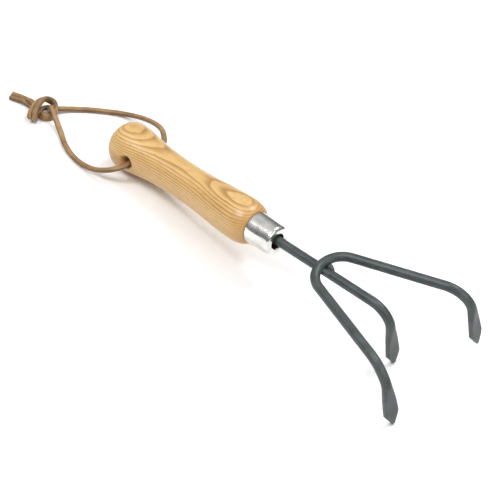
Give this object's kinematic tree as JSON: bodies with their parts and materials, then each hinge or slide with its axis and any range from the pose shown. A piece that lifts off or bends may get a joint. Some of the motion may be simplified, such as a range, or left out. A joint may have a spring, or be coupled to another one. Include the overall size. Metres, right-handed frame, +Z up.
{
  "type": "hand rake",
  "caption": "Pronged hand cultivator with forged steel tines, a plated ferrule, a turned wooden handle and a leather hanging thong.",
  "frame": {"origin": "bottom centre of the rake without its thong, on the surface it rests on", "axes": "+X runs from the handle to the tines, +Y across, +Z up; the rake rests on its handle's butt, the middle point and the near point"},
  "size_m": [0.3926, 0.0932, 0.0698],
  "materials": {
    "ash_wood": "satin lacquer",
    "plated_steel": "bright plated",
    "painted_middle_bar": "satin powder coat",
    "painted_fork_bar": "satin powder coat",
    "painted_near_weld": "satin powder coat",
    "painted_far_weld": "satin powder coat",
    "leather_loop": "waxed",
    "leather_knot": "waxed",
    "leather_near_tail": "waxed",
    "leather_far_tail": "waxed"
  },
  "bodies": {
    "rake": {"handle": "ash_wood", "ferrule": "plated_steel", "middle_tine": "painted_middle_bar", "fork_tines": "painted_fork_bar", "weld_near": "painted_near_weld", "weld_far": "painted_far_weld"},
    "thong": {"thong_loop": "leather_loop", "thong_knot": "leather_knot", "thong_tail_near": "leather_near_tail", "thong_tail_far": "leather_far_tail"}
  },
  "joints": [
    {"name": "thong_swing", "type": "hinge", "parent": "rake", "child": "thong", "pos_m": [-0.12268, -0.00686, 0.0189], "axis": [-0.0141, 0.9938, 0.1107], "range_deg": [0, 140]}
  ]
}
